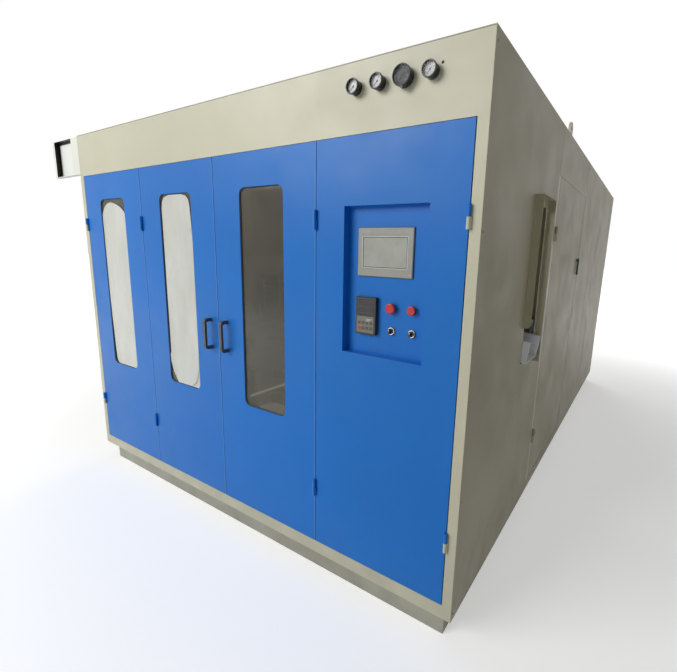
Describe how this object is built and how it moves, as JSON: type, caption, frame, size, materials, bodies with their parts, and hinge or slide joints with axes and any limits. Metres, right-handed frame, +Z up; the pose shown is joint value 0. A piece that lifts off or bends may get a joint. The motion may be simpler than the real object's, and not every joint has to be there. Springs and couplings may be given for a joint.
{
  "type": "blow moulding machine",
  "caption": "Fully enclosed blow moulding machine: sheet-metal cabinet with folding windowed doors, recessed controls and panel gauges, over an oven, preform chain and press.",
  "frame": {"origin": "on the floor under the middle of the cabinet, at the middle of the central cross beam's underside", "axes": "+X to the right of someone who faces the folding doors, +Y from the doors to the rear, +Z up"},
  "size_m": [3.1027, 4.605, 2.282],
  "materials": {
    "base_grey": "satin",
    "frame_beige": "satin",
    "side_beige": "satin",
    "door_blue": "satin",
    "plain_steel": "satin",
    "press_grey": "satin",
    "bright_bar": "polished",
    "cylinder_aluminium": "satin",
    "mould_aluminium": "satin",
    "lamp_quartz": "clear",
    "motor_grey": "satin",
    "tank_grey": "gloss",
    "device_grey": "matt",
    "pane_masked": "masking film on a clear sheet",
    "pane_smoked": "smoked acrylic sheet",
    "handle_black": "matt",
    "screen_grey": "matt",
    "controller_black": "matt",
    "bezel_chrome": "polished",
    "button_red": "gloss",
    "knob_black": "gloss",
    "gauge_black": "gloss",
    "dial_white": "matt",
    "gauge_glass": "clear",
    "needle_black": "matt"
  },
  "bodies": {
    "cabinet": {"base_frame": "base_grey", "cabinet_frame": "frame_beige", "header_panel": "frame_beige", "side_panels": "side_beige", "rear_panels": "side_beige", "roof_panels": "side_beige", "infeed_guard": "side_beige", "infeed_rail": "plain_steel", "outlet_guard": "side_beige", "outlet_chute": "plain_steel", "machine_bed": "plain_steel", "preform_chain": "plain_steel", "chain_motor": "motor_grey", "oven_housing": "plain_steel", "oven_lamps": "lamp_quartz", "blower_housing": "motor_grey", "press_frame": "press_grey", "tie_bars": "bright_bar", "air_cylinders": "cylinder_aluminium", "air_tank": "tank_grey", "valve_block": "mould_aluminium", "air_pipes": "plain_steel", "electrical_enclosure": "base_grey", "drives_and_plc": "device_grey", "gauge_cases": "gauge_black", "gauge_dials": "dial_white", "gauge_lenses": "gauge_glass"},
    "door_1": {"door_1_panel": "door_blue", "door_1_pane": "pane_masked"},
    "door_2": {"door_2_panel": "door_blue", "door_2_pane": "pane_masked", "door_2_handle": "handle_black"},
    "door_3": {"door_3_panel": "door_blue", "door_3_pane": "pane_smoked", "door_3_handle": "handle_black"},
    "door_4": {"door_4_panel": "door_blue", "control_tray": "door_blue", "touch_screen": "screen_grey", "controller": "controller_black", "button_bezels": "bezel_chrome"},
    "estop": {"estop_head": "button_red"},
    "push": {"push_button": "button_red"},
    "switch_left": {"selector_left": "knob_black"},
    "switch_right": {"selector_right": "knob_black"},
    "needle_1": {"gauge_1_needle": "needle_black"},
    "needle_2": {"gauge_2_needle": "needle_black"},
    "needle_3": {"gauge_3_needle": "needle_black"},
    "needle_4": {"gauge_4_needle": "needle_black"},
    "left_clamp": {"left_platen": "press_grey", "left_moulds": "mould_aluminium"},
    "right_clamp": {"right_platen": "press_grey", "right_moulds": "mould_aluminium"},
    "base_lift": {"base_moulds": "mould_aluminium"},
    "nozzles": {"blow_nozzle_bar": "plain_steel"},
    "stretch": {"stretch_carriage": "plain_steel"},
    "drive_wheel": {"drive_sprocket": "plain_steel"},
    "idler_wheel": {"idler_sprocket": "plain_steel"},
    "blower_wheel": {"blower_impeller": "plain_steel"},
    "side_door": {"service_door": "side_beige"},
    "side_latch": {"service_handle": "handle_black"}
  },
  "joints": [
    {"name": "door_1_hinge", "type": "hinge", "parent": "cabinet", "child": "door_1", "pos_m": [-1.308, -2.258, 0.445], "axis": [0, 0, -1], "range_deg": [0, 100]},
    {"name": "door_2_hinge", "type": "hinge", "parent": "door_1", "child": "door_2", "pos_m": [-0.654, -2.258, 0.445], "axis": [0, 0, -1], "range_deg": [0, 160]},
    {"name": "door_4_hinge", "type": "hinge", "parent": "cabinet", "child": "door_4", "pos_m": [1.308, -2.258, 0.445], "axis": [0, 0, 1], "range_deg": [0, 100]},
    {"name": "door_3_hinge", "type": "hinge", "parent": "door_4", "child": "door_3", "pos_m": [0.654, -2.258, 0.445], "axis": [0, 0, 1], "range_deg": [0, 160]},
    {"name": "estop_press", "type": "slide", "parent": "door_4", "child": "estop", "axis": [0, 1, 0], "range_m": [0, 0.004]},
    {"name": "push_press", "type": "slide", "parent": "door_4", "child": "push", "axis": [0, 1, 0], "range_m": [0, 0.003], "stiffness_N_per_m": 1500, "springref_m": -0.0005},
    {"name": "switch_left_turn", "type": "hinge", "parent": "door_4", "child": "switch_left", "pos_m": [1.01, -2.213, 1.225], "axis": [0, 1, 0], "range_deg": [-45, 45]},
    {"name": "switch_right_turn", "type": "hinge", "parent": "door_4", "child": "switch_right", "pos_m": [1.1, -2.213, 1.225], "axis": [0, 1, 0], "range_deg": [-45, 45]},
    {"name": "gauge_1_turn", "type": "hinge", "parent": "cabinet", "child": "needle_1", "pos_m": [0.845, -2.25, 2.107], "axis": [0, 1, 0], "range_deg": [0, 270]},
    {"name": "gauge_2_turn", "type": "hinge", "parent": "cabinet", "child": "needle_2", "pos_m": [0.946, -2.25, 2.107], "axis": [0, 1, 0], "range_deg": [0, 270]},
    {"name": "gauge_3_turn", "type": "hinge", "parent": "cabinet", "child": "needle_3", "pos_m": [1.047, -2.25, 2.107], "axis": [0, 1, 0], "range_deg": [0, 270]},
    {"name": "gauge_4_turn", "type": "hinge", "parent": "cabinet", "child": "needle_4", "pos_m": [1.148, -2.25, 2.107], "axis": [0, 1, 0], "range_deg": [0, 270]},
    {"name": "left_clamp_slide", "type": "slide", "parent": "cabinet", "child": "left_clamp", "axis": [1, 0, 0], "range_m": [0, 0.1197]},
    {"name": "right_clamp_slide", "type": "slide", "parent": "cabinet", "child": "right_clamp", "axis": [-1, 0, 0], "range_m": [0, 0.1197]},
    {"name": "base_lift_slide", "type": "slide", "parent": "cabinet", "child": "base_lift", "axis": [0, 0, -1], "range_m": [0, 0.04]},
    {"name": "nozzle_slide", "type": "slide", "parent": "cabinet", "child": "nozzles", "axis": [0, 0, 1], "range_m": [0, 0.0047]},
    {"name": "stretch_slide", "type": "slide", "parent": "cabinet", "child": "stretch", "axis": [0, 0, 1], "range_m": [0, 0.29]},
    {"name": "drive_wheel_turn", "type": "hinge", "parent": "cabinet", "child": "drive_wheel", "pos_m": [-0.475, 1.25, 0.9], "axis": [0, 0, 1], "continuous": true},
    {"name": "idler_wheel_turn", "type": "hinge", "parent": "cabinet", "child": "idler_wheel", "pos_m": [-0.475, -1.6, 0.9], "axis": [0, 0, 1], "continuous": true},
    {"name": "blower_turn", "type": "hinge", "parent": "cabinet", "child": "blower_wheel", "pos_m": [-0.95, -0.1177, 1.4], "axis": [0, 0, 1], "continuous": true},
    {"name": "side_door_hinge", "type": "hinge", "parent": "cabinet", "child": "side_door", "pos_m": [1.358, -1.029, 0.445], "axis": [0, 0, -1], "range_deg": [0, 100]},
    {"name": "side_latch_turn", "type": "hinge", "parent": "side_door", "child": "side_latch", "pos_m": [1.35, -0.083, 1.5], "axis": [1, 0, 0], "range_deg": [0, 90]}
  ],
  "couplings": [
    {"joint": "right_clamp_slide", "follows": "left_clamp_slide", "ratio": 1},
    {"joint": "idler_wheel_turn", "follows": "drive_wheel_turn", "ratio": 1}
  ]
}
